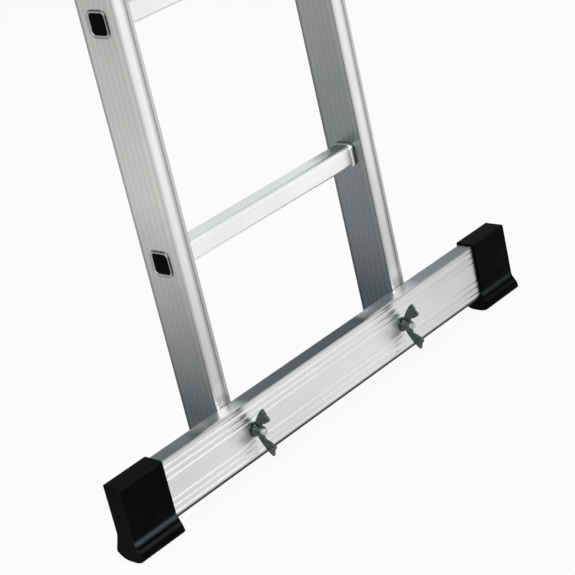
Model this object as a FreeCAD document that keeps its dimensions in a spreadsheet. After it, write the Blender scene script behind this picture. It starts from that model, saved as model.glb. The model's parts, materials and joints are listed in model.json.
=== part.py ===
import FreeCAD, Part
import os

import Sketcher

# Two-section push-up extension ladder with a clamped stabiliser bar at its foot.
# +Z is up along the stiles, +X is the ladder's right, -Y is the climber's side.
# The origin is on the floor, midway between the boots and between the two sections.

doc = FreeCAD.newDocument("ExtensionLadder")
sheet = doc.addObject("Spreadsheet::Sheet", "Sizes")

DRIVING = [
    # the ladder as a whole
    ("ladderWidth", 346.0, "over the outer faces of both stiles"),
    ("sectionGap", 2.0, "between the back of the fly and the front of the base"),
    ("rungPitch", 280.0, "rung to rung"),
    ("firstRung", 274.0, "floor to the centre of the lowest rung"),
    ("topOverhang", 130.0, "last rung's centre to the top of its stile"),
    ("flyOverhang", 160.0, "bottom of the fly stile to its lowest rung's centre"),
    # stiles
    ("stileWidth", 24.0, "across the ladder"),
    ("stileDepth", 60.0, "front to back"),
    ("sideWall", 1.6, "wall of the stile's fluted sides"),
    ("faceWall", 2.4, "wall of the stile's front and back"),
    ("stileCorner", 2.5, "outer corner radius of the stile"),
    ("fluteWidth", 4.4, "one shallow V groove along a side face"),
    ("fluteDepth", 0.3, "how deep a flute is"),
    ("flutePitch", 9.0, "flute to flute"),
    ("recessWidth", 13.0, "shallow channel down the front and the back face"),
    ("recessDepth", 0.8, "how deep that channel is"),
    # rungs
    ("rungSize", 27.0, "square tube, over flats"),
    ("rungCorner", 6.0, "outer corner radius of the tube"),
    ("rungWall", 1.5, "wall of the tube"),
    ("rungSlip", 0.1, "clearance round the tube in its stile"),
    ("lipRise", 2.5, "flared end beyond the tube, all round"),
    ("lipThick", 1.5, "how far the flared end stands off the stile"),
    ("beadRise", 2.0, "swaged bead inside the stile, beyond the tube all round"),
    ("beadWidth", 4.0, "bead along the rung"),
    ("beadCorner", 8.0, "corner radius of lip and bead"),
    ("plugDepth", 8.0, "end plug inside the tube"),
    ("plugSlip", 0.1, "clearance round the end plug"),
    # stabiliser bar and its rubber boots
    ("barHeight", 73.0, "top to bottom"),
    ("barDepth", 20.5, "front to back"),
    ("barBottom", 20.0, "floor to the underside of the bar"),
    ("barHalf", 346.0, "middle of the bar to its cut end"),
    ("barWall", 2.0, "wall of the bar's extrusion"),
    ("ribWidth", 4.4, "one V groove along the bar's front"),
    ("ribDepth", 0.8, "how deep that groove is"),
    ("ribPitch", 7.8, "groove to groove"),
    ("ribEdge", 8.1, "bar's edge to the first groove's centre"),
    ("bootGrip", 60.0, "how far the boot covers the bar"),
    ("bootWall", 3.8, "rubber in front of and behind the bar"),
    ("bootCrown", 2.5, "rubber above the bar"),
    ("bootEnd", 5.0, "rubber beyond the bar's end"),
    ("bootSlip", 0.2, "gap between bar and rubber"),
    ("flareTop", 28.0, "floor to where the boot starts to widen"),
    ("flareOut", 8.5, "how far the sole stands out each way"),
    ("soleEdge", 9.0, "floor to the corner of the sole"),
    ("treadWidth", 24.0, "flat tread under the boot"),
    ("bootRound", 2.0, "rounding of the boot's outer edges"),
    # clamp bolts, washers and wing nuts
    ("boltRadius", 4.0, "rod of the bent clamp bolt"),
    ("boltSlip", 0.3, "clearance round the rod in its holes"),
    ("boltGapLeft", 1.6, "left stile's inner face to its bolt"),
    ("boltGapRight", 12.6, "right stile's inner face to its bolt"),
    ("boltReach", 18.0, "bolt's front end ahead of the bar"),
    ("boltBend", 1.2, "inside radius of the rod's bend"),
    ("boltSetback", 16.0, "stile's front face to the hooked end's centre"),
    ("boltHook", 25.0, "length of the hooked end from the rod's centre"),
    ("washerRadius", 9.0, "outside of the washer"),
    ("washerThick", 1.6, "washer"),
    ("nutGap", 0.2, "between the washer and the wing nut"),
    ("nutRadius", 8.0, "foot of the wing nut's hub"),
    ("nutHeight", 12.0, "hub along the bolt"),
    ("nutSlip", 0.06, "thread clearance"),
    ("wingSpan", 31.0, "bolt's centre to the tip of a wing"),
    ("wingReach", 28.5, "foot of the hub to the front of a wing"),
    ("wingThick", 3.2, "plate of a wing"),
    # guides and rivets
    ("guideStandoff", 3.0, "guide plate off the stile's side"),
    ("guideThick", 3.0, "guide plate"),
    ("guideSlip", 0.7, "guide's lip off the sliding stile"),
    ("guideLip", 10.0, "how far the lip wraps round"),
    ("guideHeight", 50.0, "guide along the stile"),
    ("guideMargin", 20.0, "guide's nearer end to the end of its stile"),
    ("guideFoot", 46.0, "guide's riveted foot, front to back"),
    ("rivetRadius", 2.0, "rivet shank"),
    ("rivetSlip", 0.05, "clearance round a rivet"),
    ("rivetHead", 4.5, "radius of the rivet head"),
    ("rivetDome", 2.0, "height of the rivet head"),
    ("rivetTail", 2.0, "set end behind the wall"),
    ("rivetBulge", 3.0, "radius of the set end"),
    ("rivetMargin", 12.0, "end of the guide to its rivet"),
    # rung hooks and their catches
    ("hookPad", 12.0, "thickness of the hook casting where it is riveted on"),
    ("padLength", 42.0, "that pad, front to back"),
    ("padFoot", 1.0, "pad above the bead of the rung below it"),
    ("padRivetSpread", 24.0, "between the pad's two lower rivets"),
    ("padRivetHeight", 27.0, "rung's centre to the pad's lower rivets"),
    ("padRivetDrop", 12.0, "top of the pad to its upper rivet"),
    ("hookThick", 6.0, "arm of the hook"),
    ("hookSlip", 0.3, "hook off the rung it hangs on"),
    ("hookNose", 6.5, "nose behind the rung"),
    ("hookDrop", 6.0, "nose below the rung's centre"),
    ("hookCrown", 15.0, "arm above the rung"),
    ("hookLeg", 26.0, "leg between the two sections' rungs"),
    ("hookRise", 62.0, "top of the pad above the rung's centre"),
    ("catchThick", 4.0, "swinging catch"),
    ("catchArm", 7.0, "height of the catch's arm"),
    ("catchGap", 0.5, "catch below the rung"),
    ("catchBoss", 7.5, "radius round the catch's pin"),
    ("pinRadius", 2.5, "catch pin"),
    ("pinSlip", 0.05, "running clearance of the catch on its pin"),
    ("pinHead", 5.0, "radius of the pin's head"),
    ("pinHeadThick", 2.0, "pin's head along the pin"),
    ("sideGap", 0.3, "between hook, catch and pin head"),
    # end caps
    ("capFlange", 5.0, "cap outside the stile's end"),
    ("capPlug", 22.0, "cap inside the stile"),
    ("capSlip", 0.25, "clearance round the cap's plug"),
]
RUNGS = 8  # rungs in each section
LIFT = 3  # rungs that the fly is raised by as stored
FLUTES = 6  # flutes on each side face of a stile
RIBS = 3  # grooves at each edge of the bar's front
LEFT, RIGHT = -1, 1


class Dim:
    """A size with both its number and the spreadsheet expression it comes from."""

    def __init__(self, value, text):
        self.value = value
        self.text = text

    def __add__(self, other):
        other = dim(other)
        return Dim(self.value + other.value, f"({self.text} + {other.text})")

    def __sub__(self, other):
        other = dim(other)
        return Dim(self.value - other.value, f"({self.text} - {other.text})")

    def __mul__(self, factor):
        return Dim(self.value * factor, f"({self.text} * {factor})")

    def __truediv__(self, divisor):
        return Dim(self.value / divisor, f"({self.text} / {divisor})")

    def __neg__(self):
        return self * -1

    __rmul__ = __mul__
    __radd__ = __add__


def dim(value):
    return value if isinstance(value, Dim) else Dim(float(value), f"{float(value)}")


def fill_sheet():
    """Writes the driving sizes into the sheet and returns them by name."""
    sizes = {}
    for row, (alias, value, note) in enumerate(DRIVING, start=1):
        sheet.set(f"A{row}", alias)
        sheet.set(f"B{row}", str(value))
        sheet.set(f"C{row}", note)
        sheet.setAlias(f"B{row}", alias)
        sizes[alias] = Dim(value, f"Sizes.{alias}")
    doc.recompute()
    return sizes


S = fill_sheet()


# ---------------------------------------------------------------- shared helpers


def bind(item, prop, size):
    """Sets a property from a size and keeps it tied to the sheet."""
    item.setExpression(prop, dim(size).text)


def new_body(label, at=(0, 0, 0)):
    """A body named after its sub-part, placed at (x, y, z)."""
    body = doc.addObject("PartDesign::Body", label)
    body.Label = label
    for axis, size in zip("xyz", at):
        bind(body, f"Placement.Base.{axis}", size)
    return body


def new_sketch(body, plane, name, offset=(0, 0, 0)):
    """A sketch on one of the body's own origin planes, moved within and off that plane."""
    sketch = body.newObject("Sketcher::SketchObject", name)
    role = f"{plane}_Plane"
    origin = next(o for o in body.Origin.OriginFeatures if o.Role == role)
    sketch.AttachmentSupport = [(origin, "")]
    sketch.MapMode = "FlatFace"
    for axis, size in zip("xyz", offset):
        bind(sketch, f"AttachmentOffset.Base.{axis}", size)
    return sketch


def constrain(sketch, kind, *rest, size=None):
    """Adds a constraint and ties its value to a size if it has one."""
    if size is None:
        return sketch.addConstraint(Sketcher.Constraint(kind, *rest))
    index = sketch.addConstraint(Sketcher.Constraint(kind, *rest, size.value))
    sketch.setExpression(f"Constraints[{index}]", size.text)
    return index


def place_point(sketch, geo, pos, x, y):
    """Fixes a point at (x, y) from the sketch's origin, whatever the signs."""
    for kind, size in (("DistanceX", dim(x)), ("DistanceY", dim(y))):
        if size.value < 0:
            constrain(sketch, kind, geo, pos, -1, 1, size=-size)
        else:
            constrain(sketch, kind, -1, 1, geo, pos, size=size)


def draw_polygon(sketch, points):
    """A closed outline of straight edges through the points, in order."""
    corners = [FreeCAD.Vector(dim(x).value, dim(y).value, 0) for x, y in points]
    first = sketch.GeometryCount
    count = len(corners)
    for i in range(count):
        sketch.addGeometry(Part.LineSegment(corners[i], corners[(i + 1) % count]), False)
    for i in range(count):
        constrain(sketch, "Coincident", first + i, 2, first + (i + 1) % count, 1)
    for i, (x, y) in enumerate(points):
        place_point(sketch, first + i, 1, x, y)


def draw_groove(sketch, width, depth, side=-1):
    """A triangle whose mouth is on the sketch's Y axis and whose point goes in, away from the given side."""
    draw_polygon(sketch, [(depth * side, -width), (depth * -side, dim(0)), (depth * side, width)])


def draw_rectangle(sketch, width, height):
    """A rectangle centred on the sketch's origin."""
    half_w, half_h = dim(width) / 2, dim(height) / 2
    draw_polygon(sketch, [(-half_w, -half_h), (half_w, -half_h), (half_w, half_h), (-half_w, half_h)])


def draw_circle(sketch, radius, x=0, y=0):
    """A circle of the given radius about (x, y)."""
    centre = FreeCAD.Vector(dim(x).value, dim(y).value, 0)
    circle = Part.Circle(centre, FreeCAD.Vector(0, 0, 1), dim(radius).value)
    geo = sketch.addGeometry(circle, False)
    constrain(sketch, "Radius", geo, size=dim(radius))
    place_point(sketch, geo, 3, x, y)


def draw_rounded_square(sketch, side, corner):
    """A square with round corners, centred on the sketch's origin."""
    half, r = dim(side).value / 2, dim(corner).value
    inner = half - r
    centres = [(inner, -inner), (inner, inner), (-inner, inner), (-inner, -inner)]
    quarter = FreeCAD.Units.parseQuantity("90 deg").getValueAs("rad").Value
    up = FreeCAD.Vector(0, 0, 1)
    first = sketch.GeometryCount
    ends = [
        ((-inner, -half), (inner, -half)),
        ((half, -inner), (half, inner)),
        ((inner, half), (-inner, half)),
        ((-half, inner), (-half, -inner)),
    ]
    for i, ((x1, y1), (x2, y2)) in enumerate(ends):
        line = Part.LineSegment(FreeCAD.Vector(x1, y1, 0), FreeCAD.Vector(x2, y2, 0))
        circle = Part.Circle(FreeCAD.Vector(*centres[i], 0), up, r)
        sketch.addGeometry(line, False)
        sketch.addGeometry(Part.ArcOfCircle(circle, (i - 1) * quarter, i * quarter), False)
    for i in range(8):
        constrain(sketch, "Tangent", first + i, 2, first + (i + 1) % 8, 1)
    for i in (0, 4):
        constrain(sketch, "Horizontal", first + i)
        constrain(sketch, "Vertical", first + i + 2)
    for i in (3, 5, 7):
        constrain(sketch, "Equal", first + 1, first + i)
    constrain(sketch, "Radius", first + 1, size=dim(corner))
    constrain(sketch, "Symmetric", first + 7, 3, first + 3, 3, -1, 1)
    straight = dim(side) - 2 * dim(corner)
    constrain(sketch, "DistanceX", first + 7, 3, first + 3, 3, size=straight)
    constrain(sketch, "DistanceY", first + 7, 3, first + 3, 3, size=straight)


def pad(body, sketch, length, name, midplane=False, reverse=False):
    """Extrudes a sketch into the body."""
    feature = body.newObject("PartDesign::Pad", name)
    feature.Profile = sketch
    bind(feature, "Length", length)
    feature.Midplane = midplane
    feature.Reversed = reverse
    sketch.Visibility = False
    body.Tip = feature
    return feature


def pocket(body, sketch, length, name, midplane=False, reverse=False):
    """Cuts a sketch out of the body, and makes sure that it did cut."""
    doc.recompute()
    before = body.Shape.Volume
    feature = body.newObject("PartDesign::Pocket", name)
    feature.Profile = sketch
    bind(feature, "Length", length)
    feature.Midplane = midplane
    feature.Reversed = reverse
    body.Tip = feature
    doc.recompute()
    if body.Shape.Volume >= before:
        raise RuntimeError(f"{body.Label}: {name} cut nothing")
    return feature


def pattern(body, originals, role, spacing, count, name):
    """Repeats features along one of the body's own axes."""
    feature = body.newObject("PartDesign::LinearPattern", name)
    axis = next(o for o in body.Origin.OriginFeatures if o.Role == role)
    feature.Originals = originals
    feature.Direction = (axis, [""])
    feature.Occurrences = count
    bind(feature, "Length", dim(spacing) * (count - 1))
    body.Tip = feature
    return feature


def edge_names(shape, wanted):
    """Names of the edges whose two ends satisfy a test."""
    found = []
    for i, edge in enumerate(shape.Edges, start=1):
        if len(edge.Vertexes) == 2:
            a, b = (vertex.Point for vertex in edge.Vertexes)
            if wanted(a, b):
                found.append(f"Edge{i}")
    return found


def fillet(body, wanted, radius, name):
    """Rounds the edges of the body's tip that satisfy a test."""
    doc.recompute()
    base = body.Tip
    feature = body.newObject("PartDesign::Fillet", name)
    feature.Base = (base, edge_names(base.Shape, wanted))
    bind(feature, "Radius", radius)
    body.Tip = feature
    return feature


def along(axis):
    """Edge test: straight along an axis, 0 for X, 1 for Y and 2 for Z."""
    others = [k for k in range(3) if k != axis]
    return lambda a, b: all(abs(a[k] - b[k]) < 1e-6 for k in others)


# ---------------------------------------------------------------- shared places

OUTER = S["ladderWidth"] / 2  # outer face of a stile
INNER = OUTER - S["stileWidth"]  # inner face of a stile
STILE_X = OUTER - S["stileWidth"] / 2  # centre line of a stile
BASE_FRONT = S["sectionGap"] / 2  # front face of the base stiles, which the bar lies on
BASE_Y = BASE_FRONT + S["stileDepth"] / 2  # middle of the base section
FLY_Y = -BASE_Y  # middle of the fly section
SECTION_BACK = BASE_FRONT + S["stileDepth"]  # back of the base, and front of the fly mirrored
RUN = S["rungPitch"] * (RUNGS - 1)  # lowest to highest rung
FLY_RUNG = S["firstRung"] + S["rungPitch"] * LIFT  # centre of the fly's lowest rung
BASE_LENGTH = S["firstRung"] + RUN + S["topOverhang"] - S["barBottom"]
BASE_TOP = S["barBottom"] + BASE_LENGTH
FLY_FOOT = FLY_RUNG - S["flyOverhang"]
FLY_LENGTH = S["flyOverhang"] + RUN + S["topOverhang"]
FLY_TOP = FLY_FOOT + FLY_LENGTH
BAR_FRONT = BASE_FRONT - S["barDepth"]  # y of the bar's front face
BAR_Y = BASE_FRONT - S["barDepth"] / 2
BAR_Z = S["barBottom"] + S["barHeight"] / 2
BOLT_SIDE = INNER - S["boltRadius"]  # x of a bolt whose rod touches its stile
BOLT_X = {LEFT: -(BOLT_SIDE - S["boltGapLeft"]), RIGHT: BOLT_SIDE - S["boltGapRight"]}
BOLT_Y = BASE_FRONT + S["boltSetback"]  # y of the bolt's hooked end
BASE_GUIDE = BASE_TOP - S["guideMargin"] - S["guideHeight"]  # foot of the base's guides
FLY_GUIDE = FLY_FOOT + S["guideMargin"]  # foot of the fly's guides
RIVET_BORE = S["rivetRadius"] + S["rivetSlip"]
LIP_SIZE = S["rungSize"] + S["lipRise"] * 2
BEAD_SIZE = S["rungSize"] + S["beadRise"] * 2
HOOK_BOTTOM = BEAD_SIZE / 2 + S["padFoot"]
HOOK_RIVETS = [  # (y from the fly's middle, z above its lowest rung)
    (-S["padRivetSpread"] / 2, S["padRivetHeight"]),
    (S["padRivetSpread"] / 2, S["padRivetHeight"]),
    (dim(0), S["hookRise"] - S["padRivetDrop"]),
]
NAMES = {LEFT: "left", RIGHT: "right"}


# ---------------------------------------------------------------- stiles


def side_holes(body, side, wall_side, holes, radius, name):
    """Round holes through one side wall only: wall_side is 1 for outer and -1 for inner."""
    face = wall_side * side * S["stileWidth"] / 2
    sketch = new_sketch(body, "YZ", f"{name}Sketch", (0, 0, face))
    for y, z in holes:
        draw_circle(sketch, radius, y, z)
    return pocket(body, sketch, S["sideWall"] * 2, name, reverse=wall_side * side < 0)


def stile(label, side, y, foot, length, lowest_rung):
    """A fluted box-section stile with its rung holes, in its own frame at its foot."""
    body = new_body(label, (side * STILE_X, y, foot))
    outline = new_sketch(body, "XY", "Outline")
    draw_rectangle(outline, S["stileWidth"], S["stileDepth"])
    pad(body, outline, length, "Extrusion")
    fillet(body, along(2), S["stileCorner"], "Corners")
    first_flute = S["flutePitch"] * (FLUTES - 1) / 2
    flutes = []
    for face in (-1, 1):
        at = (face * S["stileWidth"] / 2, -first_flute, 0)
        groove = new_sketch(body, "XY", "FluteOutline", at)
        draw_groove(groove, S["fluteWidth"], S["fluteDepth"], face)
        flutes.append(pocket(body, groove, length, "Flute", reverse=True))
    pattern(body, flutes, "Y_Axis", S["flutePitch"], FLUTES, "Flutes")
    for face in (-1, 1):
        channel = new_sketch(body, "XY", "ChannelOutline", (0, face * S["stileDepth"] / 2, 0))
        draw_rectangle(channel, S["recessWidth"], S["recessDepth"] * 2)
        pocket(body, channel, length, "Channel", reverse=True)
    hollow = new_sketch(body, "XY", "HollowOutline")
    draw_rectangle(
        hollow, S["stileWidth"] - S["sideWall"] * 2, S["stileDepth"] - S["faceWall"] * 2
    )
    pocket(body, hollow, length, "Hollow", reverse=True)
    opening = new_sketch(body, "YZ", "RungHoleOutline", (0, lowest_rung, 0))
    slip = S["rungSlip"]
    draw_rounded_square(opening, S["rungSize"] + slip * 2, S["rungCorner"] + slip)
    hole = pocket(body, opening, S["stileWidth"] * 2, "RungHole", midplane=True)
    pattern(body, [hole], "Z_Axis", S["rungPitch"], RUNGS, "RungHoles")
    return body


def base_stile(side):
    """A base stile, with holes for its clamp bolt and its guide's rivets."""
    foot = S["barBottom"]
    body = stile(f"base_stile_{NAMES[side]}", side, BASE_Y, foot, BASE_LENGTH, S["firstRung"] - foot)
    bolt = [(BOLT_Y - BASE_Y, BAR_Z - foot)]
    side_holes(body, side, -1, bolt, S["boltRadius"] + S["boltSlip"], "BoltHole")
    rivets = [(dim(0), BASE_GUIDE - foot + z) for z in guide_rivet_heights()]
    side_holes(body, side, 1, rivets, RIVET_BORE, "GuideRivetHoles")


def fly_stile(side):
    """A fly stile, with holes for its guide's and its hook's rivets."""
    rung = S["flyOverhang"]
    body = stile(f"fly_stile_{NAMES[side]}", side, FLY_Y, FLY_FOOT, FLY_LENGTH, rung)
    rivets = [(dim(0), FLY_GUIDE - FLY_FOOT + z) for z in guide_rivet_heights()]
    side_holes(body, side, 1, rivets, RIVET_BORE, "GuideRivetHoles")
    hook = [(y, rung + z) for y, z in HOOK_RIVETS]
    side_holes(body, side, -1, hook, RIVET_BORE, "HookRivetHoles")


# ---------------------------------------------------------------- rungs


def rung(label, y, z):
    """A square tube right across the ladder, flared outside the stiles and beaded inside."""
    body = new_body(label, (0, y, z))
    tube = new_sketch(body, "YZ", "TubeOutline")
    draw_rounded_square(tube, S["rungSize"], S["rungCorner"])
    pad(body, tube, S["ladderWidth"] + S["lipThick"] * 2, "Tube", midplane=True)
    for side in (LEFT, RIGHT):
        outward = side == RIGHT
        lip = new_sketch(body, "YZ", "LipOutline", (0, 0, side * OUTER))
        draw_rounded_square(lip, LIP_SIZE, S["beadCorner"])
        pad(body, lip, S["lipThick"], "Lip", reverse=not outward)
        bead = new_sketch(body, "YZ", "BeadOutline", (0, 0, side * INNER))
        draw_rounded_square(bead, BEAD_SIZE, S["beadCorner"])
        pad(body, bead, S["beadWidth"], "Bead", reverse=outward)
    bore = new_sketch(body, "YZ", "BoreOutline")
    draw_rounded_square(bore, S["rungSize"] - S["rungWall"] * 2, S["rungCorner"] - S["rungWall"])
    pocket(body, bore, S["ladderWidth"] * 2, "Bore", midplane=True)


def rung_plugs(label, y, lowest):
    """The end plugs of one section's rungs, flush with the stiles' outer faces."""
    body = new_body(label, (0, y, lowest))
    slip = S["plugSlip"] * 2
    size = S["rungSize"] - S["rungWall"] * 2 - slip
    ends = []
    for side in (LEFT, RIGHT):
        face = new_sketch(body, "YZ", "PlugOutline", (0, 0, side * OUTER))
        draw_rounded_square(face, size, S["rungCorner"] - S["rungWall"])
        ends.append(pad(body, face, S["plugDepth"], "Plug", reverse=side == RIGHT))
    pattern(body, ends, "Z_Axis", S["rungPitch"], RUNGS, "Plugs")


# ---------------------------------------------------------------- stabiliser bar


def stabiliser_bar():
    """A hollow bar with grooves along the top and bottom of its front, and two bolt holes."""
    body = new_body("stabiliser_bar", (0, BAR_Y, BAR_Z))
    outline = new_sketch(body, "YZ", "BarOutline")
    draw_rectangle(outline, S["barDepth"], S["barHeight"])
    pad(body, outline, S["barHalf"] * 2, "BarExtrusion", midplane=True)
    fillet(body, along(0), S["ribDepth"], "BarCorners")
    for edge in (-1, 1):
        outermost = edge * (S["barHeight"] / 2 - S["ribEdge"])
        for i in range(RIBS):
            at = (-S["barDepth"] / 2, outermost - edge * i * S["ribPitch"], 0)
            groove = new_sketch(body, "YZ", "GrooveOutline", at)
            draw_groove(groove, S["ribWidth"], S["ribDepth"])
            pocket(body, groove, S["barHalf"] * 2, "Groove", midplane=True)
    hollow = new_sketch(body, "YZ", "BarHollowOutline")
    wall = S["barWall"] * 2
    draw_rectangle(hollow, S["barDepth"] - wall, S["barHeight"] - wall)
    pocket(body, hollow, S["barHalf"] * 2, "BarHollow", midplane=True)
    holes = new_sketch(body, "XZ", "BoltHolesOutline")
    for side in (LEFT, RIGHT):
        draw_circle(holes, S["boltRadius"] + S["boltSlip"], BOLT_X[side], 0)
    pocket(body, holes, S["barDepth"] * 2, "BoltHoles", midplane=True)


def boot(side):
    """A rubber boot closed at its outer end, widening to a sole with a flat tread."""
    grip_start = S["barHalf"] - S["bootGrip"]
    body = new_body(f"boot_{NAMES[side]}", (side * grip_start, BAR_Y, 0))
    half = S["barDepth"] / 2 + S["bootWall"]
    sole = half + S["flareOut"]
    tread = S["treadWidth"] / 2
    crown = S["barBottom"] + S["barHeight"] + S["bootCrown"]
    right_half = [
        (tread, dim(0)),
        (sole, S["soleEdge"]),
        (sole - S["bootRound"] / 2, S["soleEdge"] + S["bootRound"] * 2),
        (half, S["flareTop"]),
        (half, crown),
    ]
    left_half = [(-y, z) for y, z in reversed(right_half)]
    profile = new_sketch(body, "YZ", "BootOutline")
    draw_polygon(profile, right_half + left_half)
    length = S["bootGrip"] + S["bootEnd"]
    pad(body, profile, length, "BootBlock", reverse=side == LEFT)
    top = crown.value
    fillet(body, lambda a, b: a.z > top - 1e-3 and b.z > top - 1e-3, S["bootRound"], "BootEdges")
    socket = new_sketch(body, "YZ", "SocketOutline", (0, BAR_Z, 0))
    slip = S["bootSlip"] * 2
    draw_rectangle(socket, S["barDepth"] + slip, S["barHeight"] + slip)
    pocket(body, socket, S["bootGrip"] + S["bootSlip"], "Socket", reverse=side == RIGHT)


# ---------------------------------------------------------------- clamp bolts and nuts


def clamp_bolt(side):
    """A rod bent to hook into its stile from the inside, threaded in front of the bar."""
    body = new_body(f"clamp_bolt_{NAMES[side]}", (BOLT_X[side], 0, BAR_Z))
    front = BAR_FRONT - S["boltReach"]
    bend = S["boltRadius"] + S["boltBend"]
    path = new_sketch(body, "XY", "BoltPath")
    turn = FreeCAD.Vector(side * bend.value, (BOLT_Y - bend).value, 0)
    start, end = (90, 180) if side == RIGHT else (0, 90)
    degree = FreeCAD.Units.parseQuantity("1 deg").getValueAs("rad").Value
    circle = Part.Circle(turn, FreeCAD.Vector(0, 0, 1), bend.value)
    shank_top = FreeCAD.Vector(0, turn.y, 0)
    hook_root = FreeCAD.Vector(turn.x, BOLT_Y.value, 0)
    hook_tip = FreeCAD.Vector(side * S["boltHook"].value, BOLT_Y.value, 0)
    path.addGeometry(Part.LineSegment(FreeCAD.Vector(0, front.value, 0), shank_top), False)
    path.addGeometry(Part.ArcOfCircle(circle, start * degree, end * degree), False)
    path.addGeometry(Part.LineSegment(hook_root, hook_tip), False)
    low, high = (2, 1) if side == RIGHT else (1, 2)
    constrain(path, "Tangent", 0, 2, 1, low)
    constrain(path, "Tangent", 1, high, 2, 1)
    constrain(path, "Vertical", 0)
    constrain(path, "Horizontal", 2)
    constrain(path, "Radius", 1, size=bend)
    place_point(path, 0, 1, 0, front)
    place_point(path, 2, 2, side * S["boltHook"], BOLT_Y)
    section = new_sketch(body, "XZ", "RodSection", (0, 0, -front))
    draw_circle(section, S["boltRadius"])
    rod = body.newObject("PartDesign::AdditivePipe", "Rod")
    rod.Profile = section
    rod.Spine = (path, ["Edge1", "Edge2", "Edge3"])
    body.Tip = rod


def bar_washers():
    """One plain washer under each wing nut."""
    body = new_body("bar_washers", (0, BAR_FRONT, BAR_Z))
    rings = new_sketch(body, "XZ", "WasherOutline")
    for side in (LEFT, RIGHT):
        draw_circle(rings, S["washerRadius"], BOLT_X[side], 0)
        draw_circle(rings, S["boltRadius"] + S["boltSlip"], BOLT_X[side], 0)
    pad(body, rings, S["washerThick"], "Washers")


def wing_nut(side):
    """A wing nut on its bolt: a tapered hub with two upright wings that flare forward."""
    foot = BAR_FRONT - S["washerThick"] - S["nutGap"]
    body = new_body(f"wing_nut_{NAMES[side]}", (BOLT_X[side], foot, BAR_Z))
    radius, height = S["nutRadius"], S["nutHeight"]
    hub = new_sketch(body, "YZ", "HubProfile")
    draw_polygon(
        hub,
        [(dim(0), dim(0)), (dim(0), radius), (-height / 4, radius), (-height, radius * 0.75), (-height, dim(0))],
    )
    turned = body.newObject("PartDesign::Revolution", "Hub")
    turned.Profile = hub
    turned.ReferenceAxis = (hub, ["H_Axis"])
    turned.Angle = 360
    body.Tip = turned
    span, reach = S["wingSpan"], S["wingReach"]
    for up in (-1, 1):
        outline = [
            (-height / 6, up * radius * 0.6),
            (-height * 0.4, up * span * 0.43),
            (-reach * 0.6, up * span * 0.95),
            (-reach * 0.74, up * span),
            (-reach, up * span * 0.6),
            (-reach * 0.7, up * span * 0.38),
            (-height, up * radius * 0.6),
        ]
        wing = new_sketch(body, "YZ", "WingOutline")
        draw_polygon(wing, outline)
        pad(body, wing, S["wingThick"], "Wing", midplane=True)
    bore = new_sketch(body, "XZ", "NutBoreOutline")
    draw_circle(bore, S["boltRadius"] + S["nutSlip"])
    pocket(body, bore, reach * 2, "NutBore", midplane=True)


# ---------------------------------------------------------------- guides


def guide_rivet_heights():
    """Heights of a guide's rivets above the guide's own foot."""
    return (S["rivetMargin"], S["guideHeight"] - S["rivetMargin"])


def guide(label, side, facing, foot):
    """A bracket riveted to one stile that wraps the other: facing is -1 forward, 1 back."""
    body = new_body(label, (side * OUTER, 0, foot))
    own = -facing * BASE_Y  # middle of the stile it is riveted to
    half_foot = -facing * S["guideFoot"] / 2
    near, far = own - half_foot, own + half_foot
    inside = facing * (SECTION_BACK + S["guideSlip"])
    outside = inside + facing * S["guideThick"]
    thick = S["guideStandoff"] + S["guideThick"]
    corners = [
        (dim(0), far),
        (thick, far),
        (thick, outside),
        (-S["guideLip"], outside),
        (-S["guideLip"], inside),
        (S["guideStandoff"], inside),
        (S["guideStandoff"], near),
        (dim(0), near),
    ]
    outline = new_sketch(body, "XY", "GuideOutline")
    draw_polygon(outline, [(side * out, y) for out, y in corners])
    pad(body, outline, S["guideHeight"], "GuidePlate")
    holes = new_sketch(body, "YZ", "RivetHolesOutline")
    for z in guide_rivet_heights():
        draw_circle(holes, RIVET_BORE, own, z)
    pocket(body, holes, thick * 2, "RivetHoles", midplane=True)


def rivet(body, side, plate, wall, y, z, outward, name):
    """A blind rivet through a plate and a wall, about an axis along X.

    The body's x = 0 is the face that the plate lies on, and outward points at the head.
    """
    profile = new_sketch(body, "XZ", f"{name}Profile", (0, 0, -dim(y)))
    shank, head, bulge = S["rivetRadius"], S["rivetHead"], S["rivetBulge"]
    tail = wall + S["rivetTail"]
    across = [
        (plate + S["rivetDome"], dim(0)),
        (plate + S["rivetDome"], head / 2),
        (plate + S["rivetDome"] / 2, head * 0.9),
        (plate, head),
        (plate, shank),
        (-wall, shank),
        (-wall - S["rivetSlip"], bulge),
        (-tail, bulge),
        (-tail, dim(0)),
    ]
    face = side * (OUTER if outward else INNER)
    sign = side if outward else -side
    draw_polygon(profile, [(face + sign * x, z + r) for x, r in across])
    turned = body.newObject("PartDesign::Revolution", name)
    turned.Profile = profile
    turned.ReferenceAxis = (profile, ["Edge9"])
    turned.Angle = 360
    body.Tip = turned


def guide_rivets(label, y, foot):
    """The rivets that hold one pair of guides."""
    body = new_body(label, (0, 0, foot))
    plate = S["guideStandoff"] + S["guideThick"]
    for side in (LEFT, RIGHT):
        for i, z in enumerate(guide_rivet_heights()):
            rivet(body, side, plate, S["sideWall"], y, z, True, f"Rivet{NAMES[side]}{i}")


# ---------------------------------------------------------------- rung hooks and catches


def plate_on_hook(body, side, points, start, thick, name):
    """A plate seen from the side, starting at a distance inboard of the stile's inner face."""
    outline = new_sketch(body, "YZ", f"{name}Outline", (0, 0, -side * start))
    draw_polygon(outline, points)
    return pad(body, outline, thick, name, reverse=side == RIGHT)


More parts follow.
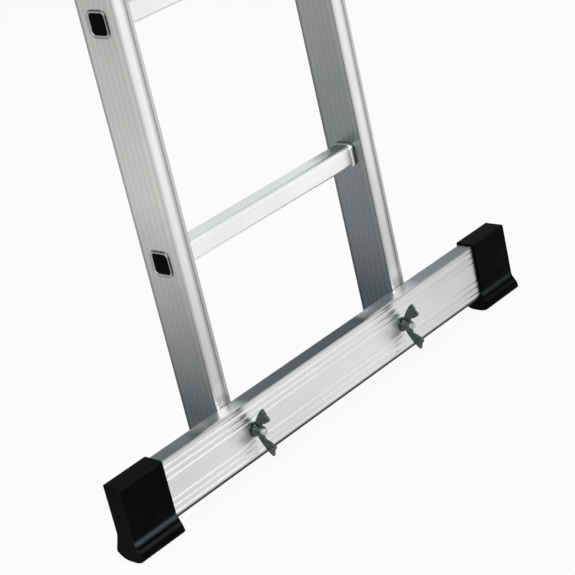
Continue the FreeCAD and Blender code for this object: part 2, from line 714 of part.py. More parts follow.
def rung_hook(side):
    """A casting riveted inside the fly stile, hooked over the base rung behind it."""
    body = new_body(f"rung_hook_{NAMES[side]}", (side * INNER, 0, FLY_RUNG))
    half = S["rungSize"] / 2
    pad_front = FLY_Y - S["padLength"] / 2
    pad_back = FLY_Y + S["padLength"] / 2
    rise = S["hookRise"]
    block = [(pad_front, HOOK_BOTTOM), (pad_back, HOOK_BOTTOM), (pad_back, rise), (pad_front, rise)]
    plate_on_hook(body, side, block, dim(0), S["hookPad"], "Pad")
    saddle = half + S["hookSlip"]
    back = BASE_Y + half + S["hookSlip"] * 2
    leg_back = S["hookLeg"] / 2 + S["sectionGap"] / 2
    leg_front = leg_back - S["hookLeg"]
    shoulder = saddle + S["hookCrown"]
    arm_front = pad_back - S["hookPad"]
    arm_top = rise - S["hookPad"]
    arm = [
        (arm_front, HOOK_BOTTOM),
        (leg_front, HOOK_BOTTOM),
        (leg_front, -half * 2),
        (leg_back, -half * 2),
        (leg_back, saddle),
        (back, saddle),
        (back, -S["hookDrop"]),
        (back + S["hookNose"], -S["hookDrop"]),
        (back + S["hookNose"], shoulder),
        (leg_back, shoulder),
        (leg_back, arm_top),
        (arm_front, arm_top),
    ]
    plate_on_hook(body, side, arm, S["hookPad"] - S["hookThick"], S["hookThick"], "Arm")
    holes = new_sketch(body, "YZ", "HookHolesOutline")
    for y, z in HOOK_RIVETS:
        draw_circle(holes, RIVET_BORE, FLY_Y + y, z)
    draw_circle(holes, S["pinRadius"] + S["pinSlip"], catch_pin_y(), catch_pin_z())
    pocket(body, holes, S["hookPad"] * 3, "HookHoles", midplane=True)


def catch_pin_y():
    """The catch's pin stands midway between the two sections."""
    return S["sectionGap"] / 2


def catch_pin_z():
    """Height of the catch's pin from its rung's centre."""
    return -(S["rungSize"] / 2 + S["catchGap"] + S["catchArm"] / 2)


def catch(side):
    """A sprung catch that closes the hook from below, swinging down on its pin."""
    body = new_body(f"hook_catch_{NAMES[side]}", (side * INNER, catch_pin_y(), FLY_RUNG + catch_pin_z()))
    start = S["hookPad"] + S["sideGap"]
    reach = BASE_Y + S["rungSize"] / 2 + S["hookNose"] - catch_pin_y()
    half_arm = S["catchArm"] / 2
    arm = [(dim(0), -half_arm), (reach, -half_arm), (reach, half_arm), (dim(0), half_arm)]
    plate_on_hook(body, side, arm, start, S["catchThick"], "CatchArm")
    boss = new_sketch(body, "YZ", "BossOutline", (0, 0, -side * start))
    draw_circle(boss, S["catchBoss"])
    pad(body, boss, S["catchThick"], "Boss", reverse=side == RIGHT)
    bore = new_sketch(body, "YZ", "CatchBoreOutline", (0, 0, -side * start))
    draw_circle(bore, S["pinRadius"] + S["pinSlip"])
    pocket(body, bore, S["catchThick"] * 3, "CatchBore", midplane=True)


def catch_pins():
    """The two headed pins that the catches swing on, each fixed in its hook."""
    body = new_body("catch_pins", (0, catch_pin_y(), FLY_RUNG + catch_pin_z()))
    shank_start = S["hookPad"] - S["hookThick"]
    head_start = S["hookPad"] + S["catchThick"] + S["sideGap"] * 2
    for side in (LEFT, RIGHT):
        shank = new_sketch(body, "YZ", "PinOutline", (0, 0, side * (INNER - shank_start)))
        draw_circle(shank, S["pinRadius"])
        pad(body, shank, head_start - shank_start, "Pin", reverse=side == RIGHT)
        head = new_sketch(body, "YZ", "PinHeadOutline", (0, 0, side * (INNER - head_start)))
        draw_circle(head, S["pinHead"])
        pad(body, head, S["pinHeadThick"], "PinHead", reverse=side == RIGHT)


def hook_rivets():
    """The rivets that hold the two rung hooks inside the fly stiles."""
    body = new_body("hook_rivets", (0, FLY_Y, FLY_RUNG))
    for side in (LEFT, RIGHT):
        for i, (y, z) in enumerate(HOOK_RIVETS):
            rivet(body, side, S["hookPad"], S["sideWall"], y, z, False, f"Rivet{NAMES[side]}{i}")


# ---------------------------------------------------------------- end caps


def end_cap(label, side, y, z, upward):
    """A plastic cap pushed into a stile's end: upward is 1 at a top and -1 at a foot."""
    body = new_body(label, (side * STILE_X, y, z))
    flange = new_sketch(body, "XY", "FlangeOutline")
    draw_rectangle(flange, S["stileWidth"], S["stileDepth"])
    pad(body, flange, S["capFlange"], "Flange", reverse=upward < 0)
    fillet(body, along(2), S["stileCorner"], "FlangeCorners")
    plug = new_sketch(body, "XY", "CapPlugOutline")
    slip = S["capSlip"] * 2
    draw_rectangle(
        plug,
        S["stileWidth"] - S["sideWall"] * 2 - slip,
        S["stileDepth"] - S["faceWall"] * 2 - slip,
    )
    pad(body, plug, S["capPlug"], "CapPlug", reverse=upward > 0)


# ---------------------------------------------------------------- the ladder


def build():
    """Makes every sub-part of the ladder."""
    for side in (LEFT, RIGHT):
        name = NAMES[side]
        base_stile(side)
        fly_stile(side)
        boot(side)
        clamp_bolt(side)
        wing_nut(side)
        rung_hook(side)
        catch(side)
        guide(f"base_guide_{name}", side, -1, BASE_GUIDE)
        guide(f"fly_guide_{name}", side, 1, FLY_GUIDE)
        end_cap(f"base_top_cap_{name}", side, BASE_Y, BASE_TOP, 1)
        end_cap(f"base_foot_plug_{name}", side, BASE_Y, S["barBottom"], -1)
        end_cap(f"fly_top_cap_{name}", side, FLY_Y, FLY_TOP, 1)
        end_cap(f"fly_foot_plug_{name}", side, FLY_Y, FLY_FOOT, -1)
    for i in range(RUNGS):
        rung(f"base_rung_{i + 1}", BASE_Y, S["firstRung"] + S["rungPitch"] * i)
        rung(f"fly_rung_{i + 1}", FLY_Y, FLY_RUNG + S["rungPitch"] * i)
    rung_plugs("base_rung_plugs", BASE_Y, S["firstRung"])
    rung_plugs("fly_rung_plugs", FLY_Y, FLY_RUNG)
    stabiliser_bar()
    bar_washers()
    guide_rivets("base_guide_rivets", BASE_Y, BASE_GUIDE)
    guide_rivets("fly_guide_rivets", FLY_Y, FLY_GUIDE)
    hook_rivets()
    catch_pins()


def check_and_write():
    """Stops on any failed feature or bad shape, then writes one file per sub-part."""
    doc.recompute()
    for item in doc.Objects:
        if "Invalid" in item.State or "Error" in item.State:
            raise RuntimeError(f"{item.Label} failed: {item.State}")
    os.makedirs("parts", exist_ok=True)
    for body in doc.findObjects("PartDesign::Body"):
        if body.Shape.isNull() or not body.Shape.isValid():
            raise RuntimeError(f"{body.Label} has no valid shape")
        body.Shape.exportStep(f"parts/{body.Label}.step")
        print(body.Label, len(body.Shape.Solids), round(body.Shape.Volume / 1000, 2), "cm3")


build()
check_and_write()
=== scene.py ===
import json

import bpy
import numpy as np
from mathutils import Matrix, Vector


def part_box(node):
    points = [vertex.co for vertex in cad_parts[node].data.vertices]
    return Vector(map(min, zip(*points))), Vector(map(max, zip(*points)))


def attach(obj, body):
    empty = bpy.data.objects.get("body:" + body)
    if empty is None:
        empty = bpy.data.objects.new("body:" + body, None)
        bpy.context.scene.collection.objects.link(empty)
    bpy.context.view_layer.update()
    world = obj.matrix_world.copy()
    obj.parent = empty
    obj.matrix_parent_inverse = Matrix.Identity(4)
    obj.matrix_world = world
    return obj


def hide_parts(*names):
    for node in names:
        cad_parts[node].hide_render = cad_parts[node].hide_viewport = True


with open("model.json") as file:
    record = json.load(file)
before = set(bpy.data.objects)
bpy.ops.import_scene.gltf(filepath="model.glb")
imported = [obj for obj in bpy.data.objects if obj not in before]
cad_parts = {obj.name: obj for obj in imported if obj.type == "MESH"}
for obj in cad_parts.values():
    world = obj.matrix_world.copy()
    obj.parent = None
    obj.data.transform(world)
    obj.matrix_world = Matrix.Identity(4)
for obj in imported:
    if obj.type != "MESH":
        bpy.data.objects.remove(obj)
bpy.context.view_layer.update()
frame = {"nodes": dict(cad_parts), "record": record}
scene = bpy.context.scene
print("frame loaded:", len(frame["nodes"]), "nodes")

leftRight = {"left": -1, "right": 1}  # which way along X each side's pieces lie


def middleOf(node):
    low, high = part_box(node)
    return (low + high) / 2


# ---- camera

cameraLook = {
    "position": (-1.3893, -1.4811, 1.0275),
    "forward": (0.62450583, 0.67766475, -0.38828206),
    "up": (0.42536627, 0.12183192, 0.89678343),
    "lens": 117.07,
    "sensor": 36,
    "clip": (0.05, 100),
}


def makeCamera(look):
    # the camera's axes, right, up and back, are the columns of its turn
    data = bpy.data.cameras.new("camera")
    data.lens = look["lens"]
    data.sensor_width = look["sensor"]
    data.clip_start, data.clip_end = look["clip"]
    camera = bpy.data.objects.new("camera", data)
    scene.collection.objects.link(camera)
    ahead, up = Vector(look["forward"]), Vector(look["up"])
    turn = Matrix((ahead.cross(up), up, -ahead)).transposed().to_4x4()
    camera.matrix_world = Matrix.Translation(look["position"]) @ turn
    scene.camera = camera


makeCamera(cameraLook)
scene.view_settings.view_transform = "Standard"

# ---- lights, floor and world

studio = {
    "floorHalf": 90.0,
    "floorColour": (0.9, 0.9, 0.9),
    "floorShare": 0.93,  # how much of the plain white shows in place of the lit floor
    "worldColour": (0.93, 0.97, 1.0),
    "worldStrength": 0.16,
    "worldSeen": 0.85,  # strength that the camera and reflections see
    "lamps": [
        # name, place, aim, size, power
        ("keyLamp", (0.7, -4.2, 1.9), (0, 0, 0.5), 1.1, 90),
        ("fillLamp", (-3.0, -1.2, 2.8), (0, 0, 0.8), 2.6, 40),
        ("topLamp", (0.3, 0.8, 5.2), (0, 0, 0.6), 2.5, 60),
    ],
}


def seenRays(tree):
    # one where the camera, a reflection or a refraction looks, and zero for light that falls on things
    path = tree.nodes.new("ShaderNodeLightPath")
    total = path.outputs["Is Camera Ray"]
    for name in ("Is Glossy Ray", "Is Transmission Ray"):
        joined = tree.nodes.new("ShaderNodeMath")
        joined.operation = "MAXIMUM"
        tree.links.new(total, joined.inputs[0])
        tree.links.new(path.outputs[name], joined.inputs[1])
        total = joined.outputs[0]
    return total


def makeWorld(look):
    world = bpy.data.worlds.new("studioWorld")
    scene.world = world
    world.use_nodes = True
    background = world.node_tree.nodes["Background"]
    background.inputs["Color"].default_value = (*look["worldColour"], 1)
    tree = world.node_tree
    span = tree.nodes.new("ShaderNodeMapRange")
    span.inputs["To Min"].default_value = look["worldStrength"]
    span.inputs["To Max"].default_value = look["worldSeen"]
    tree.links.new(seenRays(tree), span.inputs["Value"])
    tree.links.new(span.outputs["Result"], background.inputs["Strength"])


def makeFloor(look):
    half = look["floorHalf"]
    corners = [(-half, -half, 0), (half, -half, 0), (half, half, 0), (-half, half, 0)]
    mesh = bpy.data.meshes.new("floor")
    mesh.from_pydata(corners, [], [(0, 1, 2, 3)])
    floor = bpy.data.objects.new("floor", mesh)
    scene.collection.objects.link(floor)
    material = bpy.data.materials.new("paleFloor")
    material.use_nodes = True
    tree = material.node_tree
    tree.nodes.clear()
    output = tree.nodes.new("ShaderNodeOutputMaterial")
    lit = tree.nodes.new("ShaderNodeBsdfDiffuse")
    lit.inputs["Color"].default_value = (*look["floorColour"], 1)
    plain = tree.nodes.new("ShaderNodeEmission")
    plain.inputs["Color"].default_value = (1, 1, 1, 1)
    share = tree.nodes.new("ShaderNodeMath")
    share.operation = "MULTIPLY"
    share.inputs[1].default_value = look["floorShare"]
    mixed = tree.nodes.new("ShaderNodeMixShader")
    tree.links.new(seenRays(tree), share.inputs[0])
    tree.links.new(share.outputs[0], mixed.inputs["Fac"])
    tree.links.new(lit.outputs[0], mixed.inputs[1])
    tree.links.new(plain.outputs[0], mixed.inputs[2])
    tree.links.new(mixed.outputs[0], output.inputs["Surface"])
    mesh.materials.append(material)


def makeLamps(look):
    for name, place, aim, size, power in look["lamps"]:
        data = bpy.data.lights.new(name, "AREA")
        data.shape = "DISK"
        data.size = size
        data.energy = power
        lamp = bpy.data.objects.new(name, data)
        scene.collection.objects.link(lamp)
        lamp.visible_camera = False
        lamp.location = place
        lamp.rotation_euler = (Vector(aim) - Vector(place)).to_track_quat("-Z", "Y").to_euler()


makeWorld(studio)
makeFloor(studio)
makeLamps(studio)
print("studio ready")

# ---- materials


def newMaterial(name):
    material = bpy.data.materials.new(name)
    material.use_nodes = True
    tree = material.node_tree
    return material, tree, tree.nodes["Principled BSDF"]


def calculated(tree, operation, first, second=0.0, third=0.0):
    node = tree.nodes.new("ShaderNodeMath")
    node.operation = operation
    for socket, value in zip(node.inputs, (first, second, third)):
        if isinstance(value, (int, float)):
            socket.default_value = value
        else:
            tree.links.new(value, socket)
    return node.outputs[0]


def unsigned(tree, value):
    return calculated(tree, "ABSOLUTE", value)


def objectAxes(tree):
    coordinates = tree.nodes.new("ShaderNodeTexCoord")
    split = tree.nodes.new("ShaderNodeSeparateXYZ")
    tree.links.new(coordinates.outputs["Object"], split.inputs[0])
    return split.outputs["X"], split.outputs["Y"], split.outputs["Z"]


def objectPattern(tree, scale):
    # object coordinates stretched by a scale for each axis
    coordinates = tree.nodes.new("ShaderNodeTexCoord")
    mapping = tree.nodes.new("ShaderNodeMapping")
    mapping.inputs["Scale"].default_value = scale
    tree.links.new(coordinates.outputs["Object"], mapping.inputs["Vector"])
    return mapping.outputs["Vector"]


def noise(tree, scale, detail, roughness=0.5):
    texture = tree.nodes.new("ShaderNodeTexNoise")
    texture.inputs["Scale"].default_value = 1.0
    texture.inputs["Detail"].default_value = detail
    texture.inputs["Roughness"].default_value = roughness
    tree.links.new(objectPattern(tree, scale), texture.inputs["Vector"])
    return texture.outputs["Fac"]


def ranged(tree, value, low, high, fromLow=0.3, fromHigh=0.7):
    # a value carried from one span to another; where none is given, the first is the usual span of noise
    node = tree.nodes.new("ShaderNodeMapRange")
    node.inputs["From Min"].default_value = fromLow
    node.inputs["From Max"].default_value = fromHigh
    node.inputs["To Min"].default_value = low
    node.inputs["To Max"].default_value = high
    tree.links.new(value, node.inputs["Value"])
    return node.outputs["Result"]


def blended(tree, share, first, second, blend="MIX"):
    node = tree.nodes.new("ShaderNodeMix")
    node.data_type = "RGBA"
    node.blend_type = blend
    for socket, colour in ((node.inputs["A"], first), (node.inputs["B"], second)):
        if isinstance(colour, tuple):
            socket.default_value = (*colour, 1)
        else:
            tree.links.new(colour, socket)
    if isinstance(share, (int, float)):
        node.inputs["Factor"].default_value = share
    else:
        tree.links.new(share, node.inputs["Factor"])
    return node.outputs["Result"]


def multiplied(tree, first, second):
    return blended(tree, 1.0, first, second, "MULTIPLY")


def graded(tree, value, stops):
    # a colour for each place along a value, blended between
    ramp = tree.nodes.new("ShaderNodeValToRGB")
    elements = ramp.color_ramp.elements
    while len(elements) < len(stops):
        elements.new(0.5)
    for element, (place, colour) in zip(elements, stops):
        element.position = place
        element.color = (*colour, 1)
    tree.links.new(value, ramp.inputs["Fac"])
    return ramp.outputs["Color"]


def grey(stops):
    # the same share for red, green and blue at each stop
    return [(place, (share,) * 3) for place, share in stops]


def bumped(tree, shader, height, strength, distance):
    bump = tree.nodes.new("ShaderNodeBump")
    bump.inputs["Strength"].default_value = strength
    bump.inputs["Distance"].default_value = distance
    tree.links.new(height, bump.inputs["Height"])
    tree.links.new(bump.outputs["Normal"], shader.inputs["Normal"])


def repeated(tree, value):
    # one value as the red, green and blue of a colour
    colour = tree.nodes.new("ShaderNodeCombineXYZ")
    for socket in colour.inputs:
        tree.links.new(value, socket)
    return colour.outputs[0]


skinLook = {
    "cloudScale": (13, 13, 9),
    "cloudDetail": 4,
    "grainDetail": 2,
    "grainDepth": 0.0002,
}


def metalSkin(tree, shader, colour, look):
    # drawn grain along the extrusion, which also roughens it, and faint cloudy oxide
    shader.inputs["Metallic"].default_value = 1.0
    clouds = noise(tree, skinLook["cloudScale"], skinLook["cloudDetail"])
    grain = noise(tree, look["grain"], skinLook["grainDetail"])
    oxide = ranged(tree, clouds, 1 - look["cloud"], 1.0)
    streaks = ranged(tree, grain, 1 - look["streak"], 1.0)
    tone = repeated(tree, calculated(tree, "MULTIPLY", oxide, streaks))
    tree.links.new(multiplied(tree, colour, tone), shader.inputs["Base Color"])
    tree.links.new(ranged(tree, grain, *look["rough"]), shader.inputs["Roughness"])
    bumped(tree, shader, grain, look["bump"], skinLook["grainDepth"])


stileLook = {
    # colour up the ladder, as a share of the run, on the front and back, the outer side and the inner side:
    # painted shade that darkens all three towards the foot, a painted highlight on the front just above the
    # bar, and sides painted darker than the fronts as shade, the inner side most
    "face": [
        (0.155, (0.95, 0.94, 0.92)), (0.18, (0.72, 0.725, 0.73)), (0.3, (0.80, 0.80, 0.79)),
        (0.5, (0.98, 0.98, 0.965)), (1.0, (0.99, 0.99, 0.98)),
    ],
    "outer": [
        (0.12, (0.09, 0.104, 0.113)), (0.24, (0.25, 0.26, 0.258)), (0.5, (0.64, 0.64, 0.62)),
        (0.68, (0.575, 0.575, 0.557)), (0.8, (0.54, 0.54, 0.52)),
    ],
    "inner": [
        (0.12, (0.082, 0.10, 0.112)), (0.24, (0.186, 0.20, 0.208)), (0.42, (0.24, 0.255, 0.26)),
        (0.8, (0.385, 0.385, 0.375)),
    ],
    "run": 0.7,
    # share of that colour across the front from edge to edge, and along a side from front to back: a
    # painted reflection brightening the front's middle with a dark line near one edge, and painted shade
    # darkening each side towards its front and back edges
    "across": [
        (0.0, 0.62), (0.10, 0.72), (0.17, 0.90), (0.25, 1.0), (0.42, 1.06), (0.50, 1.04), (0.56, 0.96),
        (0.62, 0.79), (0.68, 0.63), (0.74, 0.59), (0.80, 0.60), (0.88, 0.66), (1.0, 0.64),
    ],
    "along": [
        (0.016, 0.60), (0.03, 0.72), (0.045, 0.95), (0.065, 1.10), (0.115, 1.08), (0.16, 1.0),
        (0.87, 1.0), (0.91, 0.78), (0.95, 0.52), (1.0, 0.42),
    ],
    "flutePitch": 0.009,
    "paintedFluteSheen": 0.045,  # painted sheen: how much brighter a side is in its flutes
    "outerFrom": (0.160, 0.162),  # where the inner side's colour gives way to the outer side's, across
    "faceFrom": (0.0286, 0.0293),  # where the side gives way to the front and back, from a stile's middle
    "grain": (900, 900, 7),
    "rough": (0.30, 0.42),
    "cloud": 0.10,
    "streak": 0.06,
    "bump": 0.10,
}


def stileMetal(name, look):
    # bright faces front and back and fluted sides painted darker as shade, all of it with painted shade
    # towards the foot and painted reflections across the front and along the sides;
    # the painted sheen of the flutes is a cosine of the distance from the stile's middle.
    # The right stile of the base, wrapped across and from front to back, serves all four.
    material, tree, shader = newMaterial(name)
    x, y, z = objectAxes(tree)
    rise = ranged(tree, z, 0, 1, 0, look["run"])
    start, end = (corner[0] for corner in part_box("base_stile_right"))
    middle = middleOf("base_stile_right")[1]
    fromMiddle = unsigned(tree, calculated(tree, "SUBTRACT", unsigned(tree, y), middle))
    onFace = ranged(tree, fromMiddle, 0, 1, *look["faceFrom"])
    isOuter = ranged(tree, unsigned(tree, x), 0, 1, *look["outerFrom"])
    # the sides: painted shade, darker than the front and back and darker towards the foot
    side = blended(tree, isOuter, graded(tree, rise, look["inner"]), graded(tree, rise, look["outer"]))
    depth = calculated(tree, "WRAP", y, middle * 2, 0.0)
    # painted shade along each side, from front to back
    along = graded(tree, ranged(tree, depth, 0, 1, 0, middle * 2), grey(look["along"]))
    offMiddle = calculated(tree, "SUBTRACT", depth, middle)
    # painted sheen in the flutes
    turns = calculated(tree, "MULTIPLY", offMiddle, 2 * np.pi / look["flutePitch"])
    wave = calculated(tree, "COSINE", turns)
    paintedSheen = ranged(tree, wave, 1 + look["paintedFluteSheen"], 1 - look["paintedFluteSheen"], -1, 1)
    side = multiplied(tree, multiplied(tree, side, along), repeated(tree, paintedSheen))
    # painted reflection across the front and back
    across = calculated(tree, "WRAP", x, start * 2 + end, start)
    across = ranged(tree, across, 0, 1, start, end)
    face = multiplied(tree, graded(tree, rise, look["face"]), graded(tree, across, grey(look["across"])))
    metalSkin(tree, shader, blended(tree, onFace, side, face), look)
    return material


rungFinish = {
    # the top is painted darker than the front, as shade
    "front": (0.97, 0.97, 0.955),
    "top": (0.90, 0.90, 0.865),
    # painted shade: share of the top's colour, by distance to the right of the ladder's middle, darker near
    # the right stile
    "shaded": [(0.085, 1.0), (0.10, 0.72), (0.115, 0.45)],
    "topFrom": (0.0120, 0.0134),  # where the front gives way to the top, above the axis
    "bead": 0.22,  # painted shade: share of the front's colour on the bead inside a stile
    "beadFrom": (0.0137, 0.0147),  # where the bead begins, from the axis
    "beadPlace": (0.1430, 0.1440),  # and across
    # painted shade: share of white on an end, by distance from the rung's axis: the mouth, the lip and its
    # edge, darkest at the edge
    "end": [(0.0, 0.44), (0.45, 0.36), (0.7, 0.24), (0.84, 0.07)],
    "endSpan": (0.012, 0.016),
    "endFrom": (0.160, 0.161),  # where the tube gives way to its end, across
    "grain": (8, 900, 900),
    "rough": (0.26, 0.38),
    "cloud": 0.08,
    "streak": 0.06,
    "bump": 0.10,
}


def rungMetal(name, look):
    # heights repeat from rung to rung and depths from section to section, so those of the lowest rung
    # serve all of them
    material, tree, shader = newMaterial(name)
    x, y, z = objectAxes(tree)
    across = unsigned(tree, x)
    axisDepth, axisHeight = middleOf("base_rung_1")[1:]
    half = (middleOf("base_rung_2")[2] - axisHeight) / 2
    height = calculated(tree, "WRAP", z, axisHeight + half, axisHeight - half)
    above = calculated(tree, "SUBTRACT", height, axisHeight)
    depth = calculated(tree, "WRAP", y, axisDepth * 2, 0.0)
    behind = calculated(tree, "SUBTRACT", depth, axisDepth)
    fromAxis = calculated(tree, "MAXIMUM", unsigned(tree, behind), unsigned(tree, above))
    onTop = ranged(tree, above, 0, 1, *look["topFrom"])
    # the top: painted darker than the front, with painted shade near the right stile
    top = multiplied(tree, look["top"], graded(tree, x, grey(look["shaded"])))
    tube = blended(tree, onTop, look["front"], top)
    # painted shade on the bead inside each stile
    beadSize = ranged(tree, fromAxis, 0, 1, *look["beadFrom"])
    beadPlace = ranged(tree, across, 0, 1, *look["beadPlace"])
    onBead = calculated(tree, "MULTIPLY", beadSize, beadPlace)
    tube = blended(tree, onBead, tube, tuple(share * look["bead"] for share in look["front"]))
    # painted shade on the ends, darkest at the lip's edge
    end = graded(tree, ranged(tree, fromAxis, 0, 1, *look["endSpan"]), grey(look["end"]))
    onEnd = ranged(tree, across, 0, 1, *look["endFrom"])
    metalSkin(tree, shader, blended(tree, onEnd, tube, end), look)
    return material


barLook = {
    "front": (0.76, 0.765, 0.755),
    # share of that colour up the front, from the bar's bottom to its top: painted shade along the bottom
    # and top edges
    "up": [
        (0.0, 0.03), (0.032, 0.07), (0.048, 0.35), (0.062, 0.85), (0.075, 1.0), (0.94, 1.0),
        (0.975, 0.7), (1.0, 0.4),
    ],
    "upSpan": (0.020, 0.093),
    # and along it, from end to end: painted shade, darker towards the right end
    "along": [(0.11, 0.98), (0.30, 1.05), (0.60, 1.05), (0.76, 0.95), (0.88, 0.82), (1.0, 0.80)],
    # painted reflections on the top, from end to end: dark, with a painted highlight round each stile
    "top": [
        (0.11, (0.15, 0.165, 0.17)), (0.175, (0.22, 0.235, 0.235)), (0.20, (0.92, 0.92, 0.90)),
        (0.25, (0.95, 0.94, 0.92)), (0.27, (0.60, 0.60, 0.59)), (0.295, (0.13, 0.145, 0.15)),
        (0.36, (0.10, 0.12, 0.125)), (0.5, (0.07, 0.085, 0.09)), (0.60, (0.075, 0.088, 0.092)),
        (0.635, (0.92, 0.92, 0.90)), (0.70, (0.95, 0.95, 0.93)), (0.735, (0.56, 0.57, 0.57)),
        (0.765, (0.26, 0.28, 0.28)), (0.88, (0.20, 0.22, 0.22)),
    ],
    "topFrom": (0.0922, 0.0928),  # where the front gives way to the top, above the floor
    "grain": (7, 900, 900),
    "rough": (0.28, 0.42),
    "cloud": 0.08,
    "streak": 0.07,
    "bump": 0.10,
}


def barMetal(name, look):
    # a front with painted shade along its edges, and a top of dark painted reflection with a painted
    # highlight round each stile
    material, tree, shader = newMaterial(name)
    x, y, z = objectAxes(tree)
    # painted shade along the front's edges and towards its right end
    up = graded(tree, ranged(tree, z, 0, 1, *look["upSpan"]), grey(look["up"]))
    along = ranged(tree, x, 0, 1, *(corner[0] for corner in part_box("stabiliser_bar")))
    front = multiplied(tree, up, graded(tree, along, grey(look["along"])))
    front = multiplied(tree, look["front"], front)
    # the top: painted dark reflection and painted highlights
    onTop = ranged(tree, z, 0, 1, *look["topFrom"])
    metalSkin(tree, shader, blended(tree, onTop, front, graded(tree, along, look["top"])), look)
    return material


plainMetals = {
    "guide": {
        "colour": (0.66, 0.665, 0.67), "grain": (500, 500, 12), "rough": (0.32, 0.45),
        "cloud": 0.15, "streak": 0.08, "bump": 0.15,
    },
    "rivet": {
        "colour": (0.74, 0.74, 0.74), "grain": (300, 300, 300), "rough": (0.24, 0.36),
        "cloud": 0.1, "streak": 0.1, "bump": 0.1,
    },
}


def plainMetal(name, look):
    material, tree, shader = newMaterial(name)
    metalSkin(tree, shader, look["colour"], look)
    return material


castMetals = {
    # colour of its bright and its dull patches, roughness, and how fine the patches are
    "castHook": ((0.56, 0.57, 0.58), (0.46, 0.47, 0.48), (0.38, 0.55), 600),
    "zincPlate": ((0.105, 0.115, 0.12), (0.06, 0.07, 0.065), (0.20, 0.34), 220),
    "zincRod": ((0.50, 0.51, 0.50), (0.36, 0.37, 0.35), (0.14, 0.24), 260),
}
pitLook = {"detail": 5, "roughness": 0.6, "bump": 0.25, "depth": 0.0003}


def castMetal(name):
    # mottled skin with shallow pits
    bright, dull, rough, fineness = castMetals[name]
    material, tree, shader = newMaterial(name)
    shader.inputs["Metallic"].default_value = 1.0
    skin = noise(tree, (fineness,) * 3, pitLook["detail"], pitLook["roughness"])
    tree.links.new(blended(tree, ranged(tree, skin, 0, 1), bright, dull), shader.inputs["Base Color"])
    tree.links.new(ranged(tree, skin, *rough), shader.inputs["Roughness"])
    bumped(tree, shader, skin, pitLook["bump"], pitLook["depth"])
    return material


plasticLook = {
    "colour": (0.003, 0.003, 0.003),
    "worn": (0.007, 0.007, 0.007),
    "rough": (0.38, 0.52),
    "texture": 900,
    "index": 1.05,
}
rubberLook = {
    "colour": (0.0028, 0.003, 0.0024),
    "worn": (0.006, 0.0062, 0.0055),
    "rough": (0.30, 0.42),
    "texture": 700,
    "index": 1.06,
    # painted highlights added up the boot's front: a thin line on the sole's flare, a broad band above it,
    # and a thin line at the top
    "paintedHighlights": [
        (0.150, (0, 0, 0)), (0.165, (0.02, 0.021, 0.018)), (0.180, (0.02, 0.021, 0.018)),
        (0.195, (0, 0, 0)), (0.215, (0, 0, 0)), (0.245, (0.06, 0.075, 0.085)),
        (0.265, (0.06, 0.075, 0.085)), (0.295, (0.004, 0.005, 0.005)), (0.32, (0, 0, 0)),
        (0.93, (0, 0, 0)), (0.945, (0.012, 0.013, 0.011)), (0.96, (0, 0, 0)),
    ],
    "highlightSpan": (0.0, 0.100),  # heights that the list covers
    "highlightFront": (-0.022, -0.020),  # where the painted highlights die away, front to back
    "highlightRight": 0.4,  # share of the painted highlights on the right boot
    "highlightFade": (-0.1, 0.1),  # where it falls to that share, across
}
scuffLook = {"scale": (35, 35, 60), "detail": 6, "roughness": 0.65, "from": (0.52, 0.72)}
mouldLook = {"detail": 4, "roughness": 0.6, "bump": 0.2, "depth": 0.0002}


def mouldedBlack(name, look):
    # near-black, with paler scuffs and a fine moulded texture, and painted highlights on the boots
    material, tree, shader = newMaterial(name)
    skin = noise(tree, (look["texture"],) * 3, mouldLook["detail"], mouldLook["roughness"])
    scuffs = noise(tree, scuffLook["scale"], scuffLook["detail"], scuffLook["roughness"])
    colour = blended(tree, ranged(tree, scuffs, 0, 1, *scuffLook["from"]), look["colour"], look["worn"])
    if "paintedHighlights" in look:
        # painted highlights along the front of the boots, by height
        x, y, z = objectAxes(tree)
        band = graded(tree, ranged(tree, z, 0, 1, *look["highlightSpan"]), look["paintedHighlights"])
        onFront = ranged(tree, y, 1, 0, *look["highlightFront"])
        bySide = ranged(tree, x, 1, look["highlightRight"], *look["highlightFade"])
        band = blended(tree, calculated(tree, "MULTIPLY", onFront, bySide), (0.0, 0.0, 0.0), band)
        colour = blended(tree, 1.0, colour, band, "ADD")
    tree.links.new(colour, shader.inputs["Base Color"])
    tree.links.new(ranged(tree, skin, *look["rough"]), shader.inputs["Roughness"])
    shader.inputs["IOR"].default_value = look["index"]
    bumped(tree, shader, skin, mouldLook["bump"], mouldLook["depth"])
    return material


finishes = {slot: plainMetal(slot + "Metal", look) for slot, look in plainMetals.items()}
finishes["stile"] = stileMetal("stileMetal", stileLook)
finishes["rung"] = rungMetal("rungMetal", rungFinish)
finishes["bar"] = barMetal("barMetal", barLook)
finishes["cast_hook"] = castMetal("castHook")
finishes["zinc"] = castMetal("zincPlate")
rodFinish = castMetal("zincRod")
finishes["black_plastic"] = mouldedBlack("capPlastic", plasticLook)
finishes["boot_rubber"] = mouldedBlack("bootRubber", rubberLook)

slotOf = {part["node"]: part["material_slot"] for part in frame["record"]["subparts"]}
for nodeName, node in frame["nodes"].items():
    node.data.materials.clear()
    node.data.materials.append(finishes[slotOf[nodeName]])
print("finishes on every node")

# ---- surfaces


def meshFrom(name, vertices, faces, finish, creaseAngle):
    # smooth all over, except across edges sharper than the crease angle
    mesh = bpy.data.meshes.new(name)
    mesh.from_pydata(vertices.tolist(), [], faces)
    mesh.polygons.foreach_set("use_smooth", np.ones(len(mesh.polygons), bool))
    mesh.set_sharp_from_angle(angle=np.radians(creaseAngle))
    mesh.materials.append(finish)
    piece = bpy.data.objects.new(name, mesh)
    scene.collection.objects.link(piece)
    return piece


